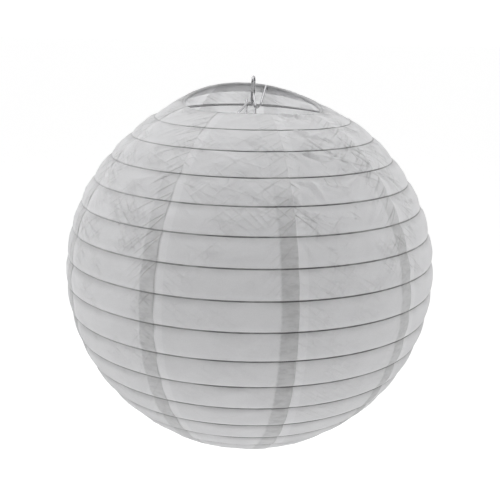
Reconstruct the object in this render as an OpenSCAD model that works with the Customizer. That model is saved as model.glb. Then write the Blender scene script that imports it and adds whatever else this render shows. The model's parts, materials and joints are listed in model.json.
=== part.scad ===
// Accordion paper lantern: a round shade of fifteen paper bands on wire hoops, held open by
// a wire frame that stands inside it and hooks under both end rings.
// Millimetres, +Z up. The origin is where a cord or hook bears in the hanging eye.

/* [Shade] */
// Widest diameter of the paper
shade_d = 300; // [296:1:304]
// How far the paper of one band bulges past the line between its hoops, at the widest band
bulge = 1.6; // [1:0.1:2.5]
// Height of the hoops' globe as a share of its width
globe_ratio = 0.982; // [0.96:0.002:1]
// Latitude of the top ring on the globe, degrees
top_latitude = 66.9; // [64:0.1:68]
// Latitude of the bottom ring on the globe, degrees below the middle
bottom_latitude = 64.2; // [62:0.1:66]
// Gap between neighbouring gores of one band
gore_gap = 0.3; // [0.2:0.1:0.6]
// Bearing of the first seam between gores, degrees from straight front towards the right
first_seam = 13.5; // [0:0.5:39.5]
// Thickness of the modelled paper
paper_t = 0.35; // [0.3:0.05:0.5]

/* [Hoops] */
// Wire of the hoops between the bands
hoop_wire_d = 1; // [0.8:0.1:1.2]
// Wire of the top and bottom rings
ring_wire_d = 1.6; // [1.4:0.1:1.8]
// Radius of the top ring, to the middle of its wire
top_ring_r = 55.4; // [54.5:0.1:56.5]
// How far the hung top ring stands above its place on the globe
top_lift = 2; // [1:0.1:4]
// Share of the top ring's lift that each next hoop keeps
lift_decay = 0.6; // [0.4:0.05:0.65]
// How far the hoops of the upper shoulder sag
shoulder_sag = 1.4; // [0:0.1:2]
// Tilt of the top ring, degrees
ring_tilt = 8; // [4:0.5:9]
// Tilt of the first hoop, degrees
hoop_tilt = 1.6; // [0.5:0.1:2]
// Bearing of the high side of the tilted hoops, degrees from straight back towards the left
tilt_bearing = 18; // [0:1:45]
// How far the hung top ring is bent up at front and back, and down at its sides
ring_bend = 3.2; // [0:0.1:4]
// Share of the top ring's bend that the first hoop takes up
bend_share = 0.3; // [0.1:0.05:0.5]
// Bearing of the bent ring's high points, degrees from straight back towards the left
bend_bearing = 8; // [0:1:20]

/* [Frame] */
// Wire of the inner frame
frame_wire_d = 1.8; // [1.6:0.1:2]
// Bearing of the frame's front arm, degrees from straight front towards the left
frame_bearing = 12; // [0:1:30]
// Height of the hanging eye's bearing point above the globe's middle
eye_height = 155.9; // [152:0.1:158]
// Outside width of the hanging eye
eye_w = 10.5; // [9:0.5:12]
// Depth of the hanging eye, from its bearing point to its neck
eye_depth = 15.7; // [12:0.1:17]
// Distance of each leg from the axis
leg_reach = 17; // [15:1:22]
// Room between a wrapped ring and the wire that carries it
hook_room = 0.4; // [0.3:0.05:0.6]

/* [Hidden] */
ribs = 14;
bands = ribs + 1;
sagged = 6;
gores = 9;
ring_fn = 90;
arc_fn = 24;
gore_cuts = ring_fn / gores;

rib_names = [for (k = [1:ribs]) str("rib_", k < 10 ? "0" : "", k)];
band_names = [for (k = [1:bands]) str("paper_band_", k < 10 ? "0" : "", k)];

// The globe that the hoops lie on, and the steps between them
globe_r = shade_d / 2 - bulge;
latitude_step = (top_latitude + bottom_latitude) / bands;
seam_turn = 270 + first_seam;
gore_angle = 360 / gores;

// Bands stop short of the fold at each hoop, and of each end ring by a share of their depth
fold_clear = hoop_wire_d / 2 + 0.3;
ring_share = 0.04;
band_points = 4;

// A hoop is glued under the fold, and the hem lies round an end ring
glue_t = 0.1;
rib_inset = paper_t + glue_t + hoop_wire_d / 2;
hem_clear = 0.06;
wrap_r = ring_wire_d / 2 + paper_t;

// The hem's section: from outside, over the free side, to inside, degrees round the wire
hem_from = 75;
hem_to = 285;
hem_steps = 12;

function latitude(k) = top_latitude - k * latitude_step;
function sag(k) = k < sagged ? shoulder_sag * pow(sin(k * 180 / sagged), 2) : 0;
function lift(k) = top_lift * pow(lift_decay, k) - sag(k);
function tilt(k) = k == 0 ? ring_tilt : k == 1 ? hoop_tilt : 0;
function bend(k) = k == 0 ? ring_bend : k == 1 ? ring_bend * bend_share : 0;
// Radius and height of hoop k, from the top ring, 0, to the bottom ring, bands
function hoop_r(k) = k == 0 ? top_ring_r : globe_r * cos(latitude(k));
function hoop_z(k) = globe_ratio * globe_r * sin(latitude(k)) + lift(k) - eye_height;

// The frame's wire: its section, and how far from each corner a round starts
frame_r = frame_wire_d / 2;
wire_fn = 12;
arm_round = 2.4;
base_round = 5;
foot_round = 2.2;
eye_round = 2.6;
round_share = 0.48;

// Bearing of the back arm, and heights at the arms' ends: the hooks hang clear below the rings
arm_turn = 90 - frame_bearing;
hook_drop = wrap_r + hook_room + frame_r;
hook_rise = 1.4;
front_ring_z = hoop_z(0) + hoop_rise(0, 180 + arm_turn);
back_ring_z = hoop_z(0) + hoop_rise(0, arm_turn);

// How far a hook's tip stands past its ring, and over the hook's run
top_tip = [2, 0.3];
bottom_tip = [2.6, 0.7];

// The eye's two strands cross at the neck, beside each other
neck_z = -eye_depth - frame_r;
crossing_x = 3;
crossing_drop = 4.5;
strand = frame_r + 0.1;

// Heights at which the front and the back arm cross the legs, and how far the legs stand over
arch_z = neck_z - 2.1;
sag_z = neck_z - 8.2;
leg_over = 3.4;
weld_depth = 0.15;

// Height of the legs' base, and how far the foot bar ends inside the bottom ring
base_z = hoop_z(bands) + 6;
bar_short = 12;

// A vector turned by an angle about the level axis that the hoops tilt on
function tilted(v, angle) =
    let (along = [cos(tilt_bearing), sin(tilt_bearing), 0])
    v * cos(angle) + cross(along, v) * sin(angle) + along * (along * v) * (1 - cos(angle));
// The point of hoop k's fold at a bearing
function hoop_point(k, turn) =
    [0, 0, hoop_z(k) + bend(k) * cos(2 * (turn - 90 - bend_bearing))]
    + tilted(hoop_r(k) * [cos(turn), sin(turn), 0], tilt(k));
// Height of hoop k over or under its middle at a bearing
function hoop_rise(k, turn) = hoop_point(k, turn)[2] - hoop_z(k);
function unit(v) = v / norm(v);
function mix(a, b, s) = a * (1 - s) + b * s;

// How far the paper's outer face stands off the middle of the wire at hoop k
function paper_off(k) = k == 0 || k == bands ? wrap_r : 0;
// Bulge of band k: a wider band holds more slack
function band_bulge(k) = bulge * (0.4 + 0.6 * hoop_r(k) / globe_r);

// Outer face of band k in the plane of a bearing, a share s of the way down, moved in by depth
function band_point(k, turn, s, depth) =
    let (
        upper = hoop_point(k - 1, turn),
        lower = hoop_point(k, turn),
        fall = unit(lower - upper),
        level = [-sin(turn), cos(turn), 0],
        face = unit(cross(level, -fall)),
        off = mix(paper_off(k - 1), paper_off(k), s),
        swell = band_bulge(k) * 4 * s * (1 - s)
    )
    mix(upper, lower, s) + face * (off + swell - depth);

// Angle that a gore of band k leaves free at each side
function gore_trim(k) = gore_gap / hoop_r(k) * 90 / PI;

// Bearings of the cuts through a gore of band k
function gore_turns(k, start) =
    [for (i = [0:gore_cuts]) start + mix(gore_trim(k), gore_angle - gore_trim(k), i / gore_cuts)];

// Shares of the way down at which a band's profile has a point
function band_shares(k) =
    let (
        run = norm(hoop_point(k, 0) - hoop_point(k - 1, 0)),
        start = k == 1 ? ring_share : fold_clear / run,
        end = 1 - (k == bands ? ring_share : fold_clear / run)
    )
    [for (i = [0:band_points]) mix(start, end, i / band_points)];

// Section of band k at a bearing: up its outer face, and down its inner one
function band_section(k, turn) =
    let (shares = band_shares(k))
    concat(
        [for (i = [band_points:-1:0]) band_point(k, turn, shares[i], 0)],
        [for (s = shares) band_point(k, turn, s, paper_t)]
    );

// ---- wire and paper shapes ----

// Solid swept through cuts of count points each, which run anticlockwise seen against the sweep
module swept(points, count, closed = false) {
    cuts = len(points) / count;
    walls = [
        for (i = [0:cuts - (closed ? 1 : 2)])
            for (j = [0:count - 1])
                let (a = i * count, b = (i + 1) % cuts * count, n = (j + 1) % count)
                [a + j, a + n, b + n, b + j]
    ];
    first = [for (j = [count - 1:-1:0]) j];
    last = [for (j = [0:count - 1]) (cuts - 1) * count + j];
    polyhedron(points, closed ? walls : concat(walls, [first], [last]), convexity = 8);
}

// A flat section set upright at a bearing of hoop k, its origin on the fold
function stood(section, k, turn) =
    [for (p = section) hoop_point(k, turn) + p[0] * [cos(turn), sin(turn), 0] + [0, 0, p[1]]];

// Round wire ring of hoop k, set in from the paper's fold along the globe's slope there
module hoop_ring(k, inset, wire_d) {
    middle = -inset * [cos(latitude(k)), sin(latitude(k))];
    sides = arc_fn / 2;
    section = [
        for (j = [0:sides - 1])
            let (a = j * 360 / sides)
            middle + wire_d / 2 * [cos(a), sin(a)]
    ];
    if (tilt(k) > 0)
        swept([for (i = [0:ring_fn - 1]) each stood(section, k, i * 360 / ring_fn)], sides, true);
    else
        translate([0, 0, hoop_z(k)])
            rotate_extrude($fn = ring_fn)
                translate([hoop_r(k) + middle[0], middle[1]])
                    circle(d = wire_d, $fn = arc_fn);
}

// One gore's stretch of a band between two level hoops
module level_gore(k) {
    section = band_section(k, 0);
    rotate([0, 0, gore_trim(k)])
        rotate_extrude(angle = gore_angle - 2 * gore_trim(k), $fn = ring_fn)
            polygon([for (p = section) [p[0], p[2]]]);
}

// One gore's stretch of a band whose upper hoop is tilted
module tilted_gore(k, start) {
    turns = gore_turns(k, start);
    swept([for (turn = turns) each band_section(k, turn)], 2 * band_points + 2);
}

// A band of paper: a stretch of each gore, side by side round the shade
module band(k) {
    for (g = [0:gores - 1]) {
        turn = seam_turn + g * gore_angle;
        if (tilt(k - 1) > 0)
            tilted_gore(k, turn);
        else
            rotate([0, 0, turn])
                level_gore(k);
    }
}

// Paper edge folded round an end ring, from outside over its free side to inside
module hem(k) {
    angles = [for (i = [0:hem_steps]) mix(hem_from, hem_to, i / hem_steps)];
    inside_r = ring_wire_d / 2 + hem_clear;
    section = concat(
        [for (a = angles) wrap_r * [cos(a), sin(a)]],
        [for (i = [hem_steps:-1:0]) inside_r * [cos(angles[i]), sin(angles[i])]]
    );
    for (g = [0:gores - 1]) {
        turns = gore_turns(k, seam_turn + g * gore_angle);
        if (tilt(k) > 0)
            swept([for (turn = turns) each stood(section, k, turn)], len(section));
        else
            translate([0, 0, hoop_z(k)])
                rotate([0, 0, turns[0]])
                    rotate_extrude(angle = turns[gore_cuts] - turns[0], $fn = ring_fn)
                        translate([hoop_r(k), 0])
                            polygon(section);
    }
}

// A bent wire's middle line: straight runs with each corner rounded, size being the round's cut
function rounded(corners, size) = [
    for (i = [0:len(corners) - 1])
        if (i == 0 || i == len(corners) - 1) corners[i]
        else
            let (
                at = corners[i],
                back = corners[i - 1] - at,
                on = corners[i + 1] - at,
                cut = min(size, norm(back) * round_share, norm(on) * round_share),
                a = at + unit(back) * cut,
                b = at + unit(on) * cut
            )
            for (s = [0:0.2:1]) mix(mix(a, at, s), mix(at, b, s), s)
];

// Round wire swept along points that lie near the plane y = 0
module wire(path) {
    last = len(path) - 1;
    points = [
        for (i = [0:last])
            let (
                way = unit(path[min(i + 1, last)] - path[max(i - 1, 0)]),
                right = unit(cross(way, [0, 1, 0])),
                up = cross(right, way)
            )
            for (j = [0:wire_fn - 1])
                let (turn = j * 360 / wire_fn)
                path[i] + frame_r * (cos(turn) * right + sin(turn) * up)
    ];
    swept(points, wire_fn);
}

// ---- the frame, drawn in its own plane: x towards the back arm, y across, z up ----

// Corners of one hook: down inside the ring, under it, and to a tip a little past it
function hook(out, ring_z, sign, tip) = [
    [sign * (out - hook_drop - 0.8), 0, ring_z + hook_rise],
    [sign * (out - hook_drop - 0.3), 0, ring_z - hook_drop],
    [sign * (out + frame_r), 0, ring_z - hook_drop],
    [sign * (out + tip[0]), 0, ring_z - hook_drop + tip[1]]
];

// The same corners from the tip inwards
function from_tip(corners) = [for (i = [len(corners) - 1:-1:0]) corners[i]];

// Top wire: front hook, arched arm, hanging eye, sagging back arm, back hook
module hanger_wire() {
    half = eye_w / 2 - frame_r;
    eye = [
        [-crossing_x, -strand, neck_z - crossing_drop],
        [crossing_x * 0.4, -strand, neck_z],
        [half, 0, neck_z + crossing_drop],
        [half, 0, frame_r - eye_round],
        [half - eye_round, 0, frame_r],
        [-half + eye_round, 0, frame_r],
        [-half, 0, frame_r - eye_round],
        [-half, 0, neck_z + crossing_drop],
        [-crossing_x * 0.4, strand, neck_z],
        [crossing_x, strand, neck_z - crossing_drop]
    ];
    arch = [[-leg_reach - 6, 0, arch_z + 0.7], [-leg_reach + 6, 0, arch_z - 0.3]];
    sag = [[leg_reach, 0, sag_z - 0.4], [leg_reach + 14, 0, sag_z + 1.2]];
    front = from_tip(hook(top_ring_r, front_ring_z, -1, top_tip));
    back = hook(top_ring_r, back_ring_z, 1, top_tip);
    color("silver")
        rotate([0, 0, arm_turn])
            wire(rounded(concat(front, arch, eye, sag, back), arm_round));
}

// Legs and base, one bent wire, welded beside the arms at its top ends
module leg_wire() {
    beside = frame_wire_d - weld_depth;
    corners = [
        [-leg_reach, beside, arch_z + leg_over],
        [-leg_reach, beside, base_z],
        [leg_reach, beside, base_z],
        [leg_reach, beside, sag_z + leg_over]
    ];
    color("silver")
        rotate([0, 0, arm_turn])
            wire(rounded(corners, base_round));
}

// Bottom wire, welded across the base, with a foot under each side of the bottom ring
module foot_wire() {
    out = hoop_r(bands);
    bar_z = base_z - frame_wire_d + weld_depth;
    bar = [[-out + bar_short, 0, bar_z], [out - bar_short, 0, bar_z]];
    left = from_tip(hook(out, hoop_z(bands), -1, bottom_tip));
    right = hook(out, hoop_z(bands), 1, bottom_tip);
    color("silver")
        rotate([0, 0, arm_turn - 90])
            wire(rounded(concat(left, bar, right), foot_round));
}

// ---- rings, hoops and paper ----

module top_ring() {
    color("lightgray")
        hoop_ring(0, 0, ring_wire_d);
}

module bottom_ring() {
    color("lightgray")
        hoop_ring(bands, 0, ring_wire_d);
}

module top_hem() {
    color("gainsboro")
        hem(0);
}

module bottom_hem() {
    color("gainsboro")
        hem(bands);
}

module rib(k) {
    color("gray")
        hoop_ring(k, rib_inset, hoop_wire_d);
}

module paper_band(k) {
    color("gainsboro")
        band(k);
}

hanger_wire();
leg_wire();
foot_wire();
top_ring();
top_hem();
bottom_ring();
bottom_hem();
for (k = [1:ribs]) rib(k);
for (k = [1:bands]) paper_band(k);
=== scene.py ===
"""Accordion paper lantern: grey tissue paper over wire hoops, held open by a bent wire frame."""

import json
import logging
import math
import random
from dataclasses import dataclass, field
from enum import Enum
from typing import Union

import bmesh
import bpy
from mathutils import Matrix, Vector, noise

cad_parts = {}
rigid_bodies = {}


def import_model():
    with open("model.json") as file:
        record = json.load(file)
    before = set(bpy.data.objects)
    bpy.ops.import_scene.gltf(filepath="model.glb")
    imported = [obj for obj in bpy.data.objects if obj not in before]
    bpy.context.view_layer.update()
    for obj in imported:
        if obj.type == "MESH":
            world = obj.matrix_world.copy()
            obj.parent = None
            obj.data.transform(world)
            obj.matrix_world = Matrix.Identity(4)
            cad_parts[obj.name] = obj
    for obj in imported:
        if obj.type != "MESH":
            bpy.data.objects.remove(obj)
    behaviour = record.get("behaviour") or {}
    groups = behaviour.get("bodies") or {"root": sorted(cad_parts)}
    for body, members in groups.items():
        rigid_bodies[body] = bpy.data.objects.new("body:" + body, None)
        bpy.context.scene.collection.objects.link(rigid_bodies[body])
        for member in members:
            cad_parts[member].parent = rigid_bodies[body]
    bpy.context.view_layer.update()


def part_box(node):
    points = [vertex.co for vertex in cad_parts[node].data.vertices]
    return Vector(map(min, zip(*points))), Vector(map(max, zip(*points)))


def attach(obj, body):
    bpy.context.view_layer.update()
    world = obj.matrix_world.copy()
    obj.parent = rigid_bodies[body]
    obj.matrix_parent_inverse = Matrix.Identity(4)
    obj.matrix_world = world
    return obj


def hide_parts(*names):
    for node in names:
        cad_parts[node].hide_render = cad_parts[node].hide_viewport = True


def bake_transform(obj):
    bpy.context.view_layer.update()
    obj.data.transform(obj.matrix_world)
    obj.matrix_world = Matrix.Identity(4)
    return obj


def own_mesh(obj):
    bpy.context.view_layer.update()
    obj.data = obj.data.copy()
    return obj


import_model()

MM = 0.001
GORES = 9
RIBS = 14
BANDS = RIBS + 1
# The widest hoop, counted from the top ring
WIDEST = 8
# Height of the shade's middle, under the top of the eye
MIDDLE = -155.9 * MM
# Thickness of the paper, and how far each gore lies over the next
SHEET = 0.2 * MM
OVERLAP = 12.2 * MM
# For each gore: down to which band it is most crumpled, how much, from which band on least, how much
GORE_WEAR = (
    (3, 1.0, 9, 0.2),
    (4, 0.8, 10, 0.25),
    (2, 0.6, 9, 0.2),
    (5, 0.8, 12, 0.2),
    (4, 0.6, 10, 0.25),
    (3, 0.7, 10, 0.3),
    (4, 0.6, 9, 0.2),
    (6, 0.7, 11, 0.25),
    (5, 0.45, 9, 0.1),
)
# What each point of the paper knows: seam and hoop distances, wear, a weight for painted hoop shade and
# glue
PAPER_MARKS = ("seam_left", "across", "down", "to_hoop", "worn", "front_back_weight")
log = logging.getLogger("lantern")

Term = Union["Value", float, int]
Colour = tuple[float, float, float]


class Slot(Enum):
    """The material slots of the model's record."""

    PAPER = "paper"
    FRAME = "frame_wire"


class Side(Enum):
    """Which end of the shade a ring closes."""

    TOP = "top"
    BOTTOM = "bottom"


# ---- materials ----


class Value:
    """A number that varies over a surface, on which plain arithmetic adds the Math nodes."""

    def __init__(self, tree: "Tree", socket: bpy.types.NodeSocket) -> None:
        """Wraps a socket.

        Args:
            tree: The tree that the socket belongs to.
            socket: The output socket that carries the number.
        """
        self.tree = tree
        self.socket = socket

    def _op(self, operation: str, *others: Term, flip: bool = False) -> "Value":
        """Adds one Math node.

        Args:
            operation: The Math node's operation.
            others: The other operands.
            flip: Whether the other operand comes first.

        Returns:
            The result.
        """
        operands = [*others, self] if flip else [self, *others]
        node = self.tree.node("ShaderNodeMath", dict(enumerate(operands)), operation=operation)
        return Value(self.tree, node.outputs[0])

    def __add__(self, other: Term) -> "Value":
        """The sum."""
        return self._op("ADD", other)

    __radd__ = __add__

    def __sub__(self, other: Term) -> "Value":
        """The difference."""
        return self._op("SUBTRACT", other)

    def __rsub__(self, other: float) -> "Value":
        """The difference, with this number taken away."""
        return self._op("SUBTRACT", other, flip=True)

    def __mul__(self, other: Term) -> "Value":
        """The product."""
        return self._op("MULTIPLY", other)

    __rmul__ = __mul__

    def size(self) -> "Value":
        """The number without its sign."""
        return self._op("ABSOLUTE")

    def step(self, start: float, end: float) -> "Value":
        """A smooth step of this number.

        Args:
            start: Where the step is 0.
            end: Where the step is 1; it may be the smaller of the two.

        Returns:
            The step, from 0 to 1.
        """
        node = self.tree.node(
            "ShaderNodeMapRange",
            {"Value": self, "From Min": start, "From Max": end, "To Min": 0.0, "To Max": 1.0},
            interpolation_type="SMOOTHSTEP",
        )
        return Value(self.tree, node.outputs["Result"])


class Tree:
    """The node tree of one material, with a single way to add any node."""

    def __init__(self, name: str) -> None:
        """Starts an empty material.

        Args:
            name: The material's name.
        """
        self.material = bpy.data.materials.new(name)
        self.material.use_nodes = True
        self.nodes = self.material.node_tree.nodes
        self.links = self.material.node_tree.links
        self.nodes.clear()
        self.output = self.nodes.new("ShaderNodeOutputMaterial")

    def node(self, kind: str, values: dict | None = None, **settings: object) -> bpy.types.Node:
        """Adds a node.

        Args:
            kind: The node's type.
            values: Numbers, colours, values or sockets for its inputs, by name or place.
            settings: Its own settings, which are set first.

        Returns:
            The new node.
        """
        made = self.nodes.new(kind)
        for key, setting in settings.items():
            setattr(made, key, setting)
        for key, value in (values or {}).items():
            socket = made.inputs[key]
            if isinstance(value, Value):
                value = value.socket
            if isinstance(value, bpy.types.NodeSocket):
                self.links.new(value, socket)
            elif isinstance(value, tuple) and socket.type == "RGBA":
                socket.default_value = (*value, 1.0)
            else:
                socket.default_value = value
        return made

    def place(self) -> bpy.types.NodeSocket:
        """The object's own coordinates, in metres."""
        return self.node("ShaderNodeTexCoord").outputs["Object"]

    def stretched(self, scale: tuple[float, float, float]) -> bpy.types.NodeSocket:
        """The object's coordinates, stretched.

        Args:
            scale: The factor along each axis.

        Returns:
            The stretched coordinates.
        """
        node = self.node("ShaderNodeVectorMath", {0: self.place(), 1: scale}, operation="MULTIPLY")
        return node.outputs[0]

    def height(self) -> Value:
        """The height of the place on the object, in metres."""
        return Value(self, self.node("ShaderNodeSeparateXYZ", {0: self.place()}).outputs["Z"])

    def attribute(self, name: str) -> Value:
        """A number stored on the mesh's points."""
        return Value(self, self.node("ShaderNodeAttribute", attribute_name=name).outputs["Fac"])

    def noise(self, vector: bpy.types.NodeSocket, scale: float, detail: float = 2.0) -> Value:
        """Cloudy noise.

        Args:
            vector: Where it is looked up.
            scale: How many cells there are to the metre.
            detail: How many finer layers it has.

        Returns:
            The noise, about 0.5 on the whole.
        """
        values = {"Vector": vector, "Scale": scale, "Detail": detail, "Roughness": 0.6}
        return Value(self, self.node("ShaderNodeTexNoise", values).outputs["Fac"])

    def shaded(self, colour: Colour, factor: Value) -> bpy.types.NodeSocket:
        """A colour made darker or lighter over the surface.

        Args:
            colour: The colour where the factor is 1.
            factor: What it is multiplied by.

        Returns:
            The colour.
        """
        scaled = self.node("ShaderNodeVectorMath", {0: colour, "Scale": factor}, operation="SCALE")
        return scaled.outputs[0]

    def bump(self, height: Value, distance: float, strength: float) -> bpy.types.NodeSocket:
        """A normal raised by a height.

        Args:
            height: The height, 0 to 1.
            distance: How far a height of 1 stands out, in metres.
            strength: How much of it shows.

        Returns:
            The normal.
        """
        values = {"Height": height, "Distance": distance, "Strength": strength}
        return self.node("ShaderNodeBump", values).outputs["Normal"]


@dataclass(frozen=True)
class TissuePaper:
    """Thin grey tissue paper, a double layer along each glued seam."""

    grey: Colour = (0.852, 0.852, 0.856)
    raggedness: float = 1.2 * MM
    thin_strip: float = 7.0 * MM
    # Width of the dark line at each hoop, which is partly painted shade
    crease: float = 0.72 * MM
    # How far the painted shade reaches under each hoop, and the painted light over it
    painted_shade_reach: float = 6.5 * MM
    shine: float = 5.5 * MM
    gathers: float = 30.0 * MM
    soaked_level: float = 180.0 * MM
    relief: float = 0.4 * MM
    see_through: float = 0.64
    doubled: float = 0.26

    def seam(self, tree: Tree) -> Value:
        """The double layer along a gore's edge, with a ragged inner edge.

        Args:
            tree: The material's tree.

        Returns:
            1 on the double layer and 0 beside it.
        """
        wander = (tree.noise(tree.place(), 320.0, 3.0) - 0.5) * (1.6 * MM)
        ragged = tree.attribute("seam_left") + wander
        return ragged.step(OVERLAP + self.raggedness, OVERLAP - self.raggedness)

    def soaked(self, tree: Tree) -> Value:
        """How much glue has soaked into the seams: most round the middle of the shade."""
        level = (tree.height() + self.soaked_level).size().step(0.125, 0.06)
        return level * (0.5 + 0.5 * tree.attribute("front_back_weight"))

    def at_hoops(self, tree: Tree) -> Value:
        """The paper's tone by the hoops, partly painted shade and painted light.

        Args:
            tree: The material's tree.

        Returns:
            A factor: a glue line with painted shade at each hoop, painted shade under it, painted light
                over it.
        """
        hoop, down = tree.attribute("to_hoop"), tree.attribute("down")
        uneven = tree.noise(tree.stretched((1.0, 1.0, 0.01)), 60.0, 2.0).step(0.3, 0.62)
        # The painted shade along each hoop is darkest at the front and the back
        front_back_weight = 0.12 + 0.88 * tree.attribute("front_back_weight")
        # A glue-soaked crease at each hoop, darkened further as painted shade of the crease and the
        # wire in it
        line = hoop.step(self.crease, self.crease * 0.3) * (0.5 + 0.5 * uneven) * front_back_weight
        broad = tree.noise(tree.stretched((1.0, 1.0, 0.3)), 22.0, 2.0).step(0.3, 0.68)
        # Painted shade just under each hoop
        below = down.step(self.painted_shade_reach, 0.4 * MM) * broad
        # Painted light just over each hoop
        above = hoop.step(self.shine, 0.6 * MM) * down.step(6.0 * MM, 9.0 * MM)
        return (1.0 - 0.72 * line) * (1.0 - 0.12 * below) * (1.0 + 0.05 * above)

    def crinkles(self, tree: Tree, slant: float, length: float, width: float) -> Value:
        """Fine straight creases that run one way across the paper.

        Args:
            tree: The material's tree.
            slant: Their slope down to the right, in degrees.
            length: How long they are, in metres.
            width: How far apart they lie, in metres.

        Returns:
            1 along a crease and 0 beside it.
        """
        across, down = tree.attribute("across"), tree.attribute("down")
        cos, sin = math.cos(math.radians(slant)), math.sin(math.radians(slant))
        along = across * (cos / length) + down * (sin / length)
        beside = down * (cos / width) - across * (sin / width)
        height = tree.height() * 9.0
        place = tree.node("ShaderNodeCombineXYZ", {0: along, 1: beside, 2: height})
        cells = tree.noise(place.outputs[0], 1.0, 0.4)
        return (cells - 0.5).size().step(0.1, 0.0)

    def creases(self, tree: Tree) -> Value:
        """All the fine creases: in patches, and gathered along each seam.

        Args:
            tree: The material's tree.

        Returns:
            How sharply the paper is creased, 0 where it is flat.
        """
        wander = (tree.noise(tree.place(), 62.0, 1.5) - 0.5).size().step(0.05, 0.0)
        steep = self.crinkles(tree, 38.0, 64.0 * MM, 6.0 * MM)
        shallow = self.crinkles(tree, 18.0, 70.0 * MM, 8.0 * MM)
        back = self.crinkles(tree, -48.0, 40.0 * MM, 5.5 * MM)
        patch = tree.noise(tree.place(), 26.0, 2.0).step(0.42, 0.6)
        fine = (steep + 0.8 * shallow + 0.6 * back + 0.7 * wander) * patch
        gathered = tree.attribute("seam_left").step(self.gathers, 8.0 * MM)
        return (fine + 0.9 * back * gathered) * tree.attribute("worn")

    def material(self) -> bpy.types.Material:
        """Builds the material.

        Returns:
            Matt paper with fibres, mottling, doubled seams, creases and a dark hoop line, both with
            painted shade.
        """
        tree = Tree("tissue_paper")
        fibres = tree.noise(tree.place(), 1300.0, 3.0)
        laid = tree.noise(tree.stretched((1.0, 1.0, 5.0)), 300.0, 2.0)
        cloud = tree.noise(tree.place(), 55.0, 3.0)
        glue = tree.noise(tree.stretched((1.0, 1.0, 2.6)), 120.0, 2.0).step(0.35, 0.7)
        pale = tree.attribute("across").step(self.thin_strip, self.thin_strip * 0.9)
        seam, soaked, creases = self.seam(tree), self.soaked(tree), self.creases(tree)
        tone = (
            (0.95 + 0.1 * fibres)
            * (0.98 + 0.04 * laid)
            * (0.96 + 0.08 * cloud)
            * (1.0 - seam * (0.03 + (0.17 + 0.1 * glue) * soaked))
            * (1.0 + 0.035 * pale)
            * self.at_hoops(tree)
            # The creases are painted a little darker, as shade in their folds
            * (1.0 - 0.05 * creases)
        )
        colour = tree.shaded(self.grey, tone)
        height = 0.12 * fibres + 0.15 * laid + 0.3 * seam + 1.9 * creases
        normal = tree.bump(height, self.relief, 0.8)
        face = tree.node(
            "ShaderNodeBsdfPrincipled",
            {
                "Base Color": colour,
                "Roughness": 0.78 + 0.14 * fibres,
                "Specular IOR Level": 0.2,
                "Normal": normal,
            },
        )
        through = tree.node("ShaderNodeBsdfTranslucent", {"Color": colour, "Normal": normal})
        share = self.see_through - self.doubled * seam * (0.25 + 0.75 * soaked)
        both = tree.node("ShaderNodeMixShader", {0: share, 1: face.outputs[0], 2: through.outputs[0]})
        tree.links.new(both.outputs[0], tree.output.inputs["Surface"])
        return tree.material


@dataclass(frozen=True)
class BrightWire:
    """Drawn steel wire, bare or with a thin bright plating."""

    name: str
    metal: Colour
    roughness: float
    streaks: float
    mark_depth: float = 0.03 * MM

    def material(self) -> bpy.types.Material:
        """Builds the material.

        Returns:
            Metal with faint draw marks, duller specks and uneven plating.
        """
        tree = Tree(self.name)
        marks = tree.noise(tree.stretched((1.0, 1.0, 0.15)), 2600.0, 2.0)
        specks = tree.noise(tree.place(), 900.0, 3.0).step(0.58, 0.72)
        cloud = tree.noise(tree.place(), 110.0, 2.0)
        tone = (0.9 + 0.2 * cloud) * (1.0 - self.streaks * marks) * (1.0 - 0.35 * specks)
        rough = self.roughness + 0.15 * cloud + 0.2 * specks
        face = tree.node(
            "ShaderNodeBsdfPrincipled",
            {
                "Base Color": tree.shaded(self.metal, tone),
                "Metallic": 1.0,
                "Roughness": rough,
                "Normal": tree.bump(marks + specks, self.mark_depth, 0.4),
            },
        )
        tree.links.new(face.outputs[0], tree.output.inputs["Surface"])
        return tree.material


@dataclass(frozen=True)
class StudioGround:
    """The pale floor, with a painted glow and a painted shadow under the lantern."""

    tone: Colour = (0.93, 0.93, 0.93)
    glow: float = 0.2
    shadow: float = 0.5
    roughness: float = 0.95

    def material(self) -> bpy.types.Material:
        """Builds the material.

        Returns:
            Pale matt paint with a faint painted glow, except in a painted shadow under the lantern.
        """
        tree = Tree("pale_floor")
        level = tree.stretched((1.0, 1.0, 0.0))
        reach = tree.node("ShaderNodeVectorMath", {0: level}, operation="LENGTH")
        away = Value(tree, reach.outputs["Value"])
        # Painted glow, left out near the lantern as a painted shadow
        glowing = tree.shaded((1.0, 1.0, 1.0), away.step(self.shadow, 2.0 * self.shadow))
        matt = {"Base Color": self.tone, "Roughness": self.roughness}
        lit = {"Emission Color": glowing, "Emission Strength": self.glow}
        face = tree.node("ShaderNodeBsdfPrincipled", {**matt, **lit})
        tree.links.new(face.outputs[0], tree.output.inputs["Surface"])
        return tree.material


# ---- meshes ----


def model_hoops() -> list[str]:
    """The names of the model's rings and hoops, from the top."""
    return ["top_ring", *(f"rib_{k:02d}" for k in range(1, BANDS)), "bottom_ring"]


def smooth(x: float) -> float:
    """A smooth step of x from 0 to 1."""
    x = min(max(x, 0.0), 1.0)
    return x * x * (3.0 - 2.0 * x)


def publish(mesh: bmesh.types.BMesh, name: str, material: bpy.types.Material) -> bpy.types.Object:
    """Turns a finished bmesh into a smooth-shaded object at the origin.

    Args:
        mesh: The bmesh, which is freed.
        name: The piece's name.
        material: Its material.

    Returns:
        The object, linked to the scene.
    """
    data = bpy.data.meshes.new(name)
    mesh.to_mesh(data)
    mesh.free()
    data.materials.append(material)
    for polygon in data.polygons:
        polygon.use_smooth = True
    made = bpy.data.objects.new(name, data)
    bpy.context.scene.collection.objects.link(made)
    return made


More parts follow.
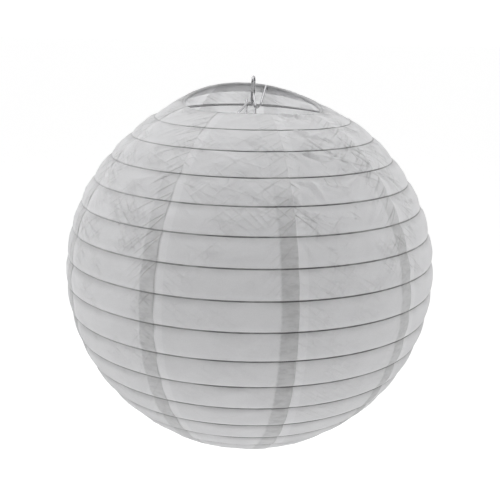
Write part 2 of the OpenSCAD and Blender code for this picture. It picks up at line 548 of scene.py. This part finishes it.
def give_wall(piece: bpy.types.Object) -> None:
    """Gives an open sheet the paper's thickness, inwards from its outer face.

    Args:
        piece: The sheet.
    """
    wall = piece.modifiers.new("wall", "SOLIDIFY")
    wall.thickness = SHEET
    wall.offset = -1.0


def report(piece: bpy.types.Object, body: str) -> None:
    """Logs a finished piece and the body that it goes with."""
    log.info("%s: %d faces, with %s", piece.name, len(piece.data.polygons), body)


def unit_tube(rows: int, columns: int) -> bmesh.types.BMesh:
    """A tube of radius 1 with its rows 1 apart, rolled up from a flat grid.

    Args:
        rows: How many rows of points there are.
        columns: How many columns go round.

    Returns:
        The tube, open at both ends, with its first row at the top and its faces outwards.
    """
    tube = bmesh.new()
    bmesh.ops.create_grid(tube, x_segments=columns, y_segments=rows - 1, size=0.5)
    for vert in tube.verts:
        turn = round((vert.co.x + 0.5) * columns) * math.tau / columns
        vert.co = Vector((math.cos(turn), math.sin(turn), (vert.co.y - 0.5) * (rows - 1)))
    bmesh.ops.remove_doubles(tube, verts=tube.verts[:], dist=0.001)
    face_outwards(tube)
    return tube


def face_outwards(tube: bmesh.types.BMesh) -> None:
    """Turns the faces of an upright tube away from its axis.

    Args:
        tube: The tube, with all its faces pointing the same way.
    """
    tube.normal_update()
    face = next(iter(tube.faces))
    if face.normal.dot(face.calc_center_median() * Vector((1.0, 1.0, 0.0))) < 0.0:
        bmesh.ops.reverse_faces(tube, faces=tube.faces[:])


# ---- the shade ----


@dataclass(frozen=True)
class Hoop:
    """A wire ring that the paper hangs on."""

    radius: float
    height: float
    tilt: float = 0.0
    bend: float = 0.0


@dataclass
class Globe:
    """The hoops of the shade, as the model has them, and where the paper lies between them.

    Bearings count from the right, as seen from the front, over the back.
    """

    hoops: list[Hoop]
    wrap: float
    tilt_bearing: float = math.radians(18.0)
    bend_bearing: float = math.radians(90.0 + 8.0)
    first_seam: float = math.radians(270.0 + 13.5)
    front_back_bearing: float = math.radians(270.0 + 16.0)
    bulge: float = 1.6 * MM
    lip: float = 0.4 * MM
    lip_run: float = 0.7 * MM

    @classmethod
    def from_model(
        cls,
        paper: float = 0.35 * MM,
        glue: float = 0.1 * MM,
        hoop_wire: float = 0.5 * MM,
        ends: tuple[float, float] = (66.9, -64.2),
    ) -> "Globe":
        """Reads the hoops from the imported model.

        Args:
            paper: Thickness of the modelled paper, which lies over each hoop.
            glue: Gap between a hoop and the modelled paper.
            hoop_wire: Radius of the hoops' wire.
            ends: Latitudes of the top and the bottom ring on the globe, in degrees.

        Returns:
            The globe, with each hoop given at the paper's fold over it.
        """
        low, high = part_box("bottom_ring")
        ring_wire = (high.z - low.z) / 2
        top, bottom = map(math.radians, ends)
        # The lean and the saddle of the top ring, which the first hoop follows a little
        shapes = {"top_ring": (math.radians(8.0), 3.2 * MM), "rib_01": (math.radians(1.6), 0.96 * MM)}
        hoops = []
        for k, name in enumerate(model_hoops()):
            low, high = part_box(name)
            spots = bpy.data.objects[name].data.vertices
            height = sum(spot.co.z for spot in spots) / len(spots)
            ring = name.endswith("ring")
            wire = ring_wire if ring else hoop_wire
            inset = 0.0 if ring else paper + glue + wire
            latitude = top + (bottom - top) * k / BANDS
            radius = (high.x - low.x) / 2 - wire + inset * math.cos(latitude)
            tilt, bend = shapes.get(name, (0.0, 0.0))
            hoops.append(Hoop(radius, height + inset * math.sin(latitude), tilt, bend))
        return cls(hoops, ring_wire + paper)

    def lean(self, k: int) -> Matrix:
        """The turn that makes hoop k lean."""
        axis = Vector((math.cos(self.tilt_bearing), math.sin(self.tilt_bearing), 0.0))
        return Matrix.Rotation(self.hoops[k].tilt, 3, axis)

    def hoop_point(self, k: int, turn: float) -> Vector:
        """A point of a hoop.

        Args:
            k: The hoop, 0 for the top ring.
            turn: The bearing.

        Returns:
            The point of the paper's fold over the hoop.
        """
        hoop = self.hoops[k]
        level = Vector((math.cos(turn), math.sin(turn), 0.0)) * hoop.radius
        height = hoop.height + hoop.bend * math.cos(2.0 * (turn - self.bend_bearing))
        return self.lean(k) @ level + Vector((0.0, 0.0, height))

    def run(self, k: int) -> float:
        """How far it is down band k, where its hoops stand at their mean distance."""
        turn = self.tilt_bearing
        return (self.hoop_point(k, turn) - self.hoop_point(k - 1, turn)).length

    def front_back_weight(self, turn: float) -> float:
        """A weight, 0 to 1, most at front and back, that darkens the painted hoop shade and the seam
        glue.
        """
        return 0.5 + 0.5 * math.cos(2.0 * (turn - self.front_back_bearing))

    def swell(self, k: int, share: float, run: float) -> float:
        """How far the paper stands off the line between its hoops.

        Args:
            k: The band, from 1 at the top.
            share: How far down the band it is, 0 to 1.
            run: The band's depth there.

        Returns:
            The distance: a slack bulge, with a quick lip out of each fold.
        """
        above = self.wrap * (1.0 - share) if k == 1 else 0.0
        below = self.wrap * share if k == BANDS else 0.0
        slack = self.bulge * (0.4 + 0.6 * self.hoops[k].radius / self.hoops[WIDEST].radius)
        edge = min(share if k > 1 else 1.0, 1.0 - share if k < BANDS else 1.0) * run
        lip = self.lip * (1.0 - math.exp(-edge / self.lip_run))
        return above + below + slack * 4.0 * share * (1.0 - share) + lip


@dataclass
class Column:
    """One column of a band's points, from the fold above to the fold below."""

    gore: int
    upper: Vector
    lower: Vector
    face: Vector
    reach: tuple[float, float]
    widths: tuple[float, float]
    doubled: bool
    front_back_weight: float

    @property
    def run(self) -> float:
        """How far it is from fold to fold."""
        return (self.lower - self.upper).length

    def across(self, share: float) -> float:
        """Distance from the gore's left edge, a share of the way down."""
        return self.reach[0] * (1.0 - share) + self.reach[1] * share

    def width(self, share: float) -> float:
        """The gore's width, a share of the way down."""
        return self.widths[0] * (1.0 - share) + self.widths[1] * share


@dataclass(frozen=True)
class Fold:
    """A soft crease that runs out from a corner of a gore, in millimetres."""

    x: float
    y: float
    slant: float
    length: float
    height: float
    width: float

    def rise(self, x: float, y: float) -> float:
        """How far the fold lifts the paper.

        Args:
            x: Distance from the gore's left edge.
            y: Distance from the upper hoop.

        Returns:
            The height: a crest with a dip along one side.
        """
        dx, dy = x - self.x, y - self.y
        along = (dx * math.cos(self.slant) + dy * math.sin(self.slant)) / self.length
        if along <= 0.0 or along >= 1.0:
            return 0.0
        wide = self.width * (0.45 + along)
        side = (dy * math.cos(self.slant) - dx * math.sin(self.slant)) / wide
        if abs(side) > 3.0:
            return 0.0
        shape = math.exp(-side * side) - 0.55 * math.exp(-((side - 1.2) ** 2))
        return self.height * shape * smooth(along * 5.0) * (1.0 - along)


@dataclass
class PaperBand:
    """One band of the paper, from hoop to hoop, crumpled as handling leaves it.

    Each gore steps up where it lies over the next. Folds and pleats are in millimetres.
    """

    globe: Globe
    number: int
    material: bpy.types.Material
    columns: int = 72
    strip_columns: int = 10
    rows_between: int = 13
    layer: float = 0.16 * MM
    cut_edge: float = 0.12 * MM
    step: float = 0.8 * MM
    ripple: float = 0.3
    pleats: float = 0.55
    flat_edge: float = 2.4
    creases: list[list[Fold]] = field(default_factory=list)

    @property
    def upper(self) -> str:
        """The body of the hoop above."""
        return "top_ring" if self.number == 1 else f"hoop_{self.number - 1:02d}"

    @property
    def lower(self) -> str:
        """The body of the hoop below."""
        return "bottom_ring" if self.number == BANDS else f"hoop_{self.number:02d}"

    def shares(self) -> list[float]:
        """Chooses the rows of points.

        Returns:
            How far down the band each row is, 0 to 1: close together by the hoops.
        """
        run = self.globe.run(self.number)
        near = [down * MM / run for down in (0.0, 0.3, 0.7, 1.4)]
        start, count = near[-1], self.rows_between
        middle = [start + (1.0 - 2.0 * start) * i / count for i in range(1, count)]
        return near + middle + [1.0 - share for share in reversed(near)]

    def across(self, column: int, width: float) -> float:
        """How far a column is from the gore's left edge.

        Args:
            column: The column's place in its gore.
            width: The gore's width there.

        Returns:
            The distance; the last columns share the overlap with the next gore.
        """
        strip = self.columns - self.strip_columns
        inner = width - OVERLAP - self.step
        if column < strip:
            return self.cut_edge + (inner - self.cut_edge) * column / (strip - 1)
        return width - OVERLAP * (self.columns - 1 - column) / (self.strip_columns - 1)

    def wear(self, gore: int) -> float:
        """How crumpled this band is.

        Args:
            gore: The gore.

        Returns:
            Its wear, from 0 for smooth to 1.
        """
        top, most, bottom, least = GORE_WEAR[gore]
        share = smooth((self.number - top) / max(bottom - top, 1))
        return most * (1.0 - share) + least * share

    def folds(self, gore: int, width: float, run: float) -> list[Fold]:
        """Chooses the folds of one gore.

        Args:
            gore: The gore.
            width: The gore's width, in millimetres.
            run: The band's depth, in millimetres.

        Returns:
            Fans of folds from its upper corners, and a few long gentle ones.
        """
        pick = random.Random(100 * self.number + gore)
        wear = self.wear(gore)
        made = []
        for corner in range(2):
            for _ in range(round(5 * wear) + 1):
                slant = math.radians(pick.uniform(14.0, 62.0))
                x = pick.uniform(-1.0, 12.0)
                length = pick.uniform(14.0, 46.0) * (0.45 + 0.55 * wear)
                height = pick.uniform(0.6, 1.6) * wear
                if corner:
                    x, slant = width - OVERLAP / MM - x, math.pi - slant
                    height *= 0.6
                y, wide = pick.uniform(-1.5, 2.5), pick.uniform(1.3, 2.4)
                made.append(Fold(x, y, slant, length, height, wide))
        for _ in range(3):
            slant = math.radians(pick.uniform(-38.0, -12.0))
            x, y = pick.uniform(0.1, 0.6) * width, pick.uniform(0.5, 1.1) * run
            length, height = pick.uniform(25.0, 60.0), pick.uniform(0.15, 0.4)
            made.append(Fold(x, y, slant, length, height, 3.2))
        return made

    def crumple(self, column: Column, x: float, y: float) -> float:
        """How far the paper stands out where it is creased.

        Args:
            column: The column of points.
            x: Distance from the gore's left edge, in millimetres.
            y: Distance from the upper hoop, in millimetres.

        Returns:
            The distance, in metres.
        """
        run = column.run / MM
        seed = 7.3 * self.number + 31.7 * column.gore
        stand = sum(fold.rise(x, y) for fold in self.creases[column.gore])
        stand += self.ripple * noise.noise(Vector((x / 21.0, y / 13.0, seed + 23.0)))
        if self.number == 1:
            pleat = noise.noise(Vector((x / 2.3, y / 50.0, seed + 3.0)))
            stand += self.pleats * abs(pleat) * math.exp(-y / 11.0)
        return stand * smooth(min(y, run - y) / self.flat_edge) * MM

    def column(self, number: int) -> Column:
        """Lays out one column of points.

        Args:
            number: The column's place round the shade, from the first seam.

        Returns:
            The column.
        """
        gore, place = divmod(number, self.columns)
        span = math.tau / GORES
        ends, reach, widths = [], [], []
        for k in (self.number - 1, self.number):
            radius = self.globe.hoops[k].radius
            widths.append(span * radius)
            reach.append(self.across(place, widths[-1]))
            turn = self.globe.first_seam + gore * span + reach[-1] / radius
            ends.append(self.globe.hoop_point(k, turn))
        level = Vector((-math.sin(turn), math.cos(turn), 0.0))
        face = level.cross(ends[0] - ends[1]).normalized()
        doubled = place >= self.columns - self.strip_columns
        front_back_weight = self.globe.front_back_weight(turn)
        return Column(gore, ends[0], ends[1], face, tuple(reach), tuple(widths), doubled, front_back_weight)

    def build(self) -> bpy.types.Object:
        """Builds the band and puts it on its hoops.

        Returns:
            The piece.
        """
        rows, total = self.shares(), self.columns * GORES
        sheet = unit_tube(len(rows), total)
        marks = [sheet.verts.layers.float.new(name) for name in PAPER_MARKS]
        laid = [self.column(number) for number in range(total)]
        wide, deep = laid[0].width(0.5) / MM, self.globe.run(self.number) / MM
        self.creases = [self.folds(gore, wide, deep) for gore in range(GORES)]
        for vert in sheet.verts:
            column = laid[round(math.atan2(vert.co.y, vert.co.x) / math.tau * total) % total]
            share = rows[round(-vert.co.z)]
            across, width, run = column.across(share), column.width(share), column.run
            out = self.globe.swell(self.number, share, run)
            out += self.crumple(column, across / MM, share * run / MM)
            out += self.layer if column.doubled else 0.0
            found = (width - across, across, share * run, min(share, 1.0 - share) * run)
            for mark, value in zip(marks, (*found, self.wear(column.gore), column.front_back_weight)):
                vert[mark] = value
            vert.co = column.upper.lerp(column.lower, share) + column.face * out
        piece = publish(sheet, f"band_{self.number:02d}_paper", self.material)
        give_wall(piece)
        self.hang(piece)
        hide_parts(f"paper_band_{self.number:02d}")
        report(piece, self.upper)
        return piece

    def hang(self, piece: bpy.types.Object) -> None:
        """Puts the band on the body of its upper hoop; where that hoop leans, only bakes its place into
        the mesh.

        Args:
            piece: The band's mesh.
        """
        upper = self.globe.hoops[self.number - 1]
        if upper.tilt == 0.0:
            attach(piece, self.upper)
            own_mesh(piece)
            return
        up = self.globe.lean(self.number) @ Vector((0.0, 0.0, 1.0))
        turns = [math.radians(10.0 * i) for i in range(36)]
        start = min(self.globe.hoop_point(self.number - 1, turn).dot(up) for turn in turns)
        end = max(self.globe.hoop_point(self.number, turn).dot(up) for turn in turns)
        self.upper
        self.lower
        up * start
        up * end
        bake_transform(piece)


@dataclass
class RingHem:
    """The paper's edge, folded round an end ring and glued down inside."""

    globe: Globe
    side: Side
    material: bpy.types.Material
    columns: int = 360
    glued: float = 9.0 * MM
    outer_edge: float = 50.0
    inner_edge: float = 300.0
    looseness: float = 0.35 * MM
    off_hoop: float = 3.0 * MM

    def profile(self) -> list[tuple[float, float]]:
        """The fold's section.

        Returns:
            For each row, the angle round the wire in degrees and how far past the fold it runs.
        """
        arc = self.inner_edge - self.outer_edge
        round_wire = [(self.outer_edge + arc * i / 20, 0.0) for i in range(21)]
        flap = [(self.inner_edge, self.glued * i / 6) for i in range(1, 7)]
        return round_wire + flap

    def build(self) -> bpy.types.Object:
        """Builds the hem and puts it on its ring.

        Returns:
            The piece.
        """
        rows = self.profile()
        sheet = unit_tube(len(rows), self.columns)
        marks = [sheet.verts.layers.float.new(name) for name in PAPER_MARKS]
        top = self.side is Side.TOP
        ring = 0 if top else BANDS
        flip = 1.0 if top else -1.0
        span, radius = math.tau / GORES, self.globe.hoops[ring].radius
        for vert in sheet.verts:
            turn = math.atan2(vert.co.y, vert.co.x)
            angle, past = rows[round(-vert.co.z)]
            vert.co = self.place(ring, turn, math.radians(angle), past, flip)
            across = (turn - self.globe.first_seam) % span * radius
            found = (span * radius - across, across, past, self.off_hoop, 0.5, 0.5)
            for mark, value in zip(marks, found):
                vert[mark] = value
        if not top:
            bmesh.ops.reverse_faces(sheet, faces=sheet.faces[:])
        piece = publish(sheet, f"{self.side.value}_hem_paper", self.material)
        give_wall(piece)
        body = f"{self.side.value}_ring"
        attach(piece, body)
        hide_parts(f"{self.side.value}_hem")
        report(piece, body)
        return piece

    def place(self, ring: int, turn: float, angle: float, past: float, flip: float) -> Vector:
        """A point of the hem.

        Args:
            ring: The ring's place among the hoops.
            turn: The bearing.
            angle: The angle round the wire's section, from straight out.
            past: How far along the glued flap it is.
            flip: 1 at the top ring, -1 at the bottom one.

        Returns:
            The point.
        """
        globe = self.globe
        centre = globe.hoop_point(ring, turn)
        beyond = globe.hoop_point(ring + int(flip), turn)
        fall = (beyond - centre).normalized()
        level = Vector((-math.sin(turn), math.cos(turn), 0.0))
        face = level.cross(-fall * flip).normalized()
        about = angle - math.radians(self.outer_edge)
        seed = 2.0 * ring
        loose = self.looseness * (1.0 + noise.noise(Vector((turn * 9.0, seed, 0.0))))
        size = globe.wrap + loose * math.sin(min(about, math.pi)) - SHEET * 0.5
        rim = (face * math.cos(about) - fall * math.sin(about)) * size
        slack = noise.noise(Vector((turn * 7.0, past / (4.0 * MM), seed + 9.0))) * self.looseness
        return centre + rim + fall * past - face * slack * min(1.0, past / (3.0 * MM))


# ---- the wire frame ----


@dataclass
class WireFrame:
    """The bent wire that holds the shade open, in its own upright plane."""

    globe: Globe
    plating: bpy.types.Material
    bearing: float = math.radians(12.0)
    wire: float = 0.9 * MM
    eye_width: float = 10.5 * MM
    eye_depth: float = 15.7 * MM
    leg_reach: float = 17.0 * MM
    hook_room: float = 0.4 * MM
    hook_rise: float = 1.4 * MM
    top_tip: tuple[float, float] = (2.0 * MM, 0.3 * MM)
    bottom_tip: tuple[float, float] = (2.6 * MM, 0.7 * MM)
    crossing: tuple[float, float] = (3.0 * MM, 4.5 * MM)
    eye_round: float = 2.6 * MM
    arch_drop: float = 2.1 * MM
    sag_drop: float = 8.6 * MM
    leg_over: float = 3.4 * MM
    base_rise: float = 6.0 * MM
    bar_short: float = 12.0 * MM
    bend_cuts: tuple[float, float, float] = (2.4 * MM, 5.0 * MM, 2.2 * MM)
    weld: float = 0.15 * MM

    def hook(self, out: float, ring: float, sign: float, tip: tuple[float, float]) -> list[Vector]:
        """The corners of a hook, from inside its ring to the tip.

        Args:
            out: The ring's radius.
            ring: The ring's height over the hook.
            sign: -1 or 1, the side of the axis.
            tip: How far the tip stands past the ring and over the hook's run.

        Returns:
            The corners.
        """
        drop = self.globe.wrap + self.hook_room + self.wire
        spots = [
            (out - drop - 0.8 * MM, ring + self.hook_rise),
            (out - drop - 0.3 * MM, ring - drop),
            (out + 0.8 * MM, ring - drop),
            (out + tip[0], ring - drop + tip[1]),
        ]
        return [Vector((sign * x, 0.0, z)) for x, z in spots]

    @property
    def neck(self) -> float:
        """The height at which the eye's strands cross."""
        return -self.eye_depth - self.wire

    @property
    def base(self) -> float:
        """The height of the legs' base."""
        return self.globe.hoops[-1].height + self.base_rise

    def hanger_corners(self) -> list[Vector]:
        """The top wire: hook, arched arm, hanging eye, sagging arm, hook.

        Returns:
            The wire's corners.
        """
        ring = self.globe.hoops[0]
        turn = math.pi / 2 - self.bearing
        front = self.hook(ring.radius, self.globe.hoop_point(0, math.pi + turn).z, -1.0, self.top_tip)
        back = self.hook(ring.radius, self.globe.hoop_point(0, turn).z, 1.0, self.top_tip)
        half = self.eye_width / 2 - self.wire
        strand = self.wire + 0.1 * MM
        neck, arch, corner = self.neck, self.neck - self.arch_drop, self.eye_round
        aside, away = self.crossing
        middle = [
            (-self.leg_reach - 6 * MM, 0.0, arch + 0.7 * MM),
            (-self.leg_reach + 6 * MM, 0.0, arch - 0.3 * MM),
            (-aside, -strand, neck - away),
            (1.2 * MM, -strand, neck),
            (half, 0.0, neck + away),
            (half, 0.0, self.wire - corner),
            (half - corner, 0.0, self.wire),
            (corner - half, 0.0, self.wire),
            (-half, 0.0, self.wire - corner),
            (-half, 0.0, neck + away),
            (-1.2 * MM, strand, neck),
            (aside, strand, neck - away),
            (self.leg_reach, 0.0, neck - self.sag_drop),
            (self.leg_reach + 14 * MM, 0.0, neck - self.sag_drop + 1.6 * MM),
        ]
        return front[::-1] + [Vector(spot) for spot in middle] + back

    def leg_corners(self) -> list[Vector]:
        """The legs and their base, beside the arms.

        Returns:
            The wire's corners.
        """
        beside = 2 * self.wire - self.weld
        front = self.neck - self.arch_drop + self.leg_over
        back = self.neck - self.sag_drop + 0.4 * MM + self.leg_over
        reach = self.leg_reach
        spots = [(-reach, front), (-reach, self.base), (reach, self.base), (reach, back)]
        return [Vector((x, beside, z)) for x, z in spots]

    def foot_corners(self) -> list[Vector]:
        """The bottom wire, with a foot under each side of the ring.

        Returns:
            The wire's corners.
        """
        ring = self.globe.hoops[-1]
        bar = self.base - 2 * self.wire + self.weld
        inner = ring.radius - self.bar_short
        left = self.hook(ring.radius, ring.height, -1.0, self.bottom_tip)
        right = self.hook(ring.radius, ring.height, 1.0, self.bottom_tip)
        return left[::-1] + [Vector((-inner, 0.0, bar)), Vector((inner, 0.0, bar))] + right

    @staticmethod
    def rounded(corners: list[Vector], cut: float, steps: int = 8) -> list[Vector]:
        """Rounds the corners of a bent wire.

        Args:
            corners: The corners.
            cut: How far from each corner its round starts.
            steps: How many stretches a round has.

        Returns:
            The wire's middle line.
        """
        line = [corners[0]]
        for before, at, after in zip(corners, corners[1:], corners[2:]):
            back, on = before - at, after - at
            size = min(cut, back.length * 0.48, on.length * 0.48)
            a, b = at + back.normalized() * size, at + on.normalized() * size
            for i in range(steps + 1):
                share = i / steps
                line.append(a.lerp(at, share).lerp(at.lerp(b, share), share))
        return line + [corners[-1]]

    def bend(self, name: str, corners: list[Vector], cut: float, turn: float, node: str) -> None:
        """Makes one bent wire and puts it on the frame.

        Args:
            name: The piece's name.
            corners: The wire's corners in its own plane.
            cut: How far from each corner its round starts.
            turn: How far its plane is turned about the axis.
            node: The model's node that it stands for.
        """
        turned = Matrix.Rotation(turn, 3, "Z")
        line = [turned @ spot for spot in self.rounded(corners, cut)]
        path = bpy.data.curves.new(name, "CURVE")
        path.dimensions = "3D"
        path.bevel_depth = self.wire
        path.bevel_resolution = 4
        path.use_fill_caps = True
        spline = path.splines.new("POLY")
        spline.points.add(len(line) - 1)
        for point, spot in zip(spline.points, line):
            point.co = (*spot, 1.0)
        bent = bpy.data.objects.new(name + "_path", path)
        bpy.context.scene.collection.objects.link(bent)
        bpy.context.view_layer.update()
        tube = bmesh.new()
        tube.from_mesh(bent.to_mesh())
        bent.to_mesh_clear()
        bpy.data.objects.remove(bent)
        bmesh.ops.remove_doubles(tube, verts=tube.verts[:], dist=0.001 * MM)
        bmesh.ops.recalc_face_normals(tube, faces=tube.faces[:])
        piece = publish(tube, name, self.plating)
        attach(piece, "frame")
        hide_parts(node)
        report(piece, "frame")

    def weld_bead(self, name: str, spot: Vector) -> None:
        """Puts a small melted bead where two wires meet.

        Args:
            name: The bead's name.
            spot: Its middle.
        """
        bead = bmesh.new()
        bmesh.ops.create_icosphere(bead, subdivisions=3, radius=self.wire * 0.85)
        bmesh.ops.scale(bead, verts=bead.verts[:], vec=(1.25, 1.0, 1.15))
        for vert in bead.verts:
            vert.co *= 1.0 + 0.16 * noise.noise(vert.co / (0.5 * MM))
        bmesh.ops.translate(bead, verts=bead.verts[:], vec=spot)
        piece = publish(bead, name, self.plating)
        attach(piece, "frame")
        report(piece, "frame")

    def build(self) -> None:
        """Builds the three wires and the beads that join them."""
        turn = math.pi / 2 - self.bearing
        hanger, legs, foot = self.bend_cuts
        self.bend("frame_hanger", self.hanger_corners(), hanger, turn, "hanger_wire")
        self.bend("frame_legs", self.leg_corners(), legs, turn, "leg_wire")
        self.bend("frame_foot", self.foot_corners(), foot, turn - math.pi / 2, "foot_wire")
        turned = Matrix.Rotation(turn, 3, "Z")
        beside = self.wire - self.weld / 2
        arch, sag = self.neck - self.arch_drop + 0.4 * MM, self.neck - self.sag_drop + 0.3 * MM
        spots = {
            "weld_front": Vector((-self.leg_reach, beside, arch)),
            "weld_back": Vector((self.leg_reach, beside, sag)),
            "weld_base": Vector((0.0, 2 * beside, self.base - beside)),
        }
        for name, spot in spots.items():
            self.weld_bead(name, turned @ spot)


# ---- the studio ----


@dataclass
class Studio:
    """The pale floor, the soft light and the camera."""

    middle: Vector
    floor_drop: float = 0.75
    distance: float = 0.8206
    elevation: float = math.radians(14.74)
    roll: float = math.radians(1.19)
    lens: float = 71.0
    aim: tuple[float, float] = (0.4 * MM, 14.6 * MM)
    front_light: float = 0.16
    back_light: float = 1.12
    light_turn: tuple[float, float] = (-0.9, 0.2)

    def build(self) -> None:
        """Builds all three."""
        self.lay_floor()
        self.set_lights()
        self.set_camera()

    def lay_floor(self) -> None:
        """Lays a wide floor well below the hanging lantern."""
        ground = bmesh.new()
        bmesh.ops.create_grid(ground, x_segments=2, y_segments=2, size=30.0)
        drop = Vector((0.0, 0.0, self.middle.z - self.floor_drop))
        bmesh.ops.translate(ground, verts=ground.verts[:], vec=drop)
        publish(ground, "floor", StudioGround().material())

    def soft_light(self, name: str, spot: Vector, size: float, power: float) -> None:
        """Hangs a square soft light that faces the lantern.

        Args:
            name: The light's name.
            spot: Its place from the lantern's middle.
            size: The length of its sides.
            power: Its power in watts.
        """
        lamp = bpy.data.lights.new(name, "AREA")
        lamp.shape = "SQUARE"
        lamp.size = size
        lamp.energy = power
        held = bpy.data.objects.new(name, lamp)
        held.location = self.middle + spot
        held.rotation_euler = (-spot).to_track_quat("-Z", "Y").to_euler()
        bpy.context.scene.collection.objects.link(held)

    def set_lights(self) -> None:
        """Sets soft lamps above and on both sides, and the surround."""
        self.soft_light("overhead", Vector((0.0, 0.0, 1.6)), 1.4, 9.0)
        self.soft_light("left", Vector((-1.6, 0.1, 1.1)), 1.2, 10.5)
        self.soft_light("right", Vector((1.6, 0.15, 1.1)), 1.2, 6.8)
        self.set_surround()
        bpy.context.scene.view_settings.view_transform = "Standard"

    def set_surround(self) -> None:
        """Sets a white surround that is darker on the camera's side."""
        world = bpy.data.worlds.new("surround")
        world.use_nodes = True
        nodes, links = world.node_tree.nodes, world.node_tree.links
        way = nodes.new("ShaderNodeTexCoord")
        split = nodes.new("ShaderNodeSeparateXYZ")
        links.new(way.outputs["Generated"], split.inputs[0])
        behind = nodes.new("ShaderNodeMapRange")
        behind.interpolation_type = "SMOOTHSTEP"
        span = (*self.light_turn, self.front_light, self.back_light)
        for socket, value in zip(("From Min", "From Max", "To Min", "To Max"), span):
            behind.inputs[socket].default_value = value
        links.new(split.outputs["Y"], behind.inputs["Value"])
        sky = nodes["Background"]
        sky.inputs["Color"].default_value = (1.0, 1.0, 1.0, 1.0)
        links.new(behind.outputs[0], sky.inputs["Strength"])
        bpy.context.scene.world = world

    def set_camera(self) -> None:
        """Sets the camera, a little above the lantern and slightly rolled."""
        e, g = self.elevation, self.roll
        right = Vector((1.0, 0.0, 0.0))
        up = Vector((0.0, math.sin(e), math.cos(e)))
        spot = self.middle + Vector((0.0, -math.cos(e), math.sin(e))) * self.distance
        right, up = right * math.cos(g) + up * math.sin(g), up * math.cos(g) - right * math.sin(g)
        aim = self.middle + right * self.aim[0] + up * self.aim[1]
        ahead = (aim - spot).normalized()
        right = ahead.cross(up).normalized()
        up = right.cross(ahead)
        turned = Matrix((right, up, -ahead)).transposed()
        camera = bpy.data.cameras.new("camera")
        camera.lens = self.lens
        camera.sensor_width = 36.0
        held = bpy.data.objects.new("camera", camera)
        held.matrix_world = Matrix.Translation(spot) @ turned.to_4x4()
        bpy.context.scene.collection.objects.link(held)
        bpy.context.scene.camera = held


def dress_model_wires(material: bpy.types.Material) -> None:
    """Gives the model's own hoops and end rings their material.

    Args:
        material: The hoop wire's material.
    """
    for name in model_hoops():
        for slot in bpy.data.objects[name].material_slots:
            slot.material = material
        log.info("%s: the model's own mesh", name)


def main() -> None:
    """Builds the lantern and the studio."""
    logging.basicConfig(level=logging.INFO, format="%(name)s: %(message)s")
    globe = Globe.from_model()
    paper = TissuePaper().material()
    hoop_steel = BrightWire("hoop_steel", (0.42, 0.42, 0.43), 0.38, 0.2).material()
    plating = BrightWire("zinc_plated_wire", (0.4, 0.4, 0.41), 0.12, 0.15).material()
    Studio(Vector((0.0, 0.0, MIDDLE))).build()
    for number in range(1, BANDS + 1):
        PaperBand(globe, number, paper).build()
    for side in Side:
        RingHem(globe, side, paper).build()
    WireFrame(globe, plating).build()
    dress_model_wires(hoop_steel)


if __name__ == "__main__":
    main()
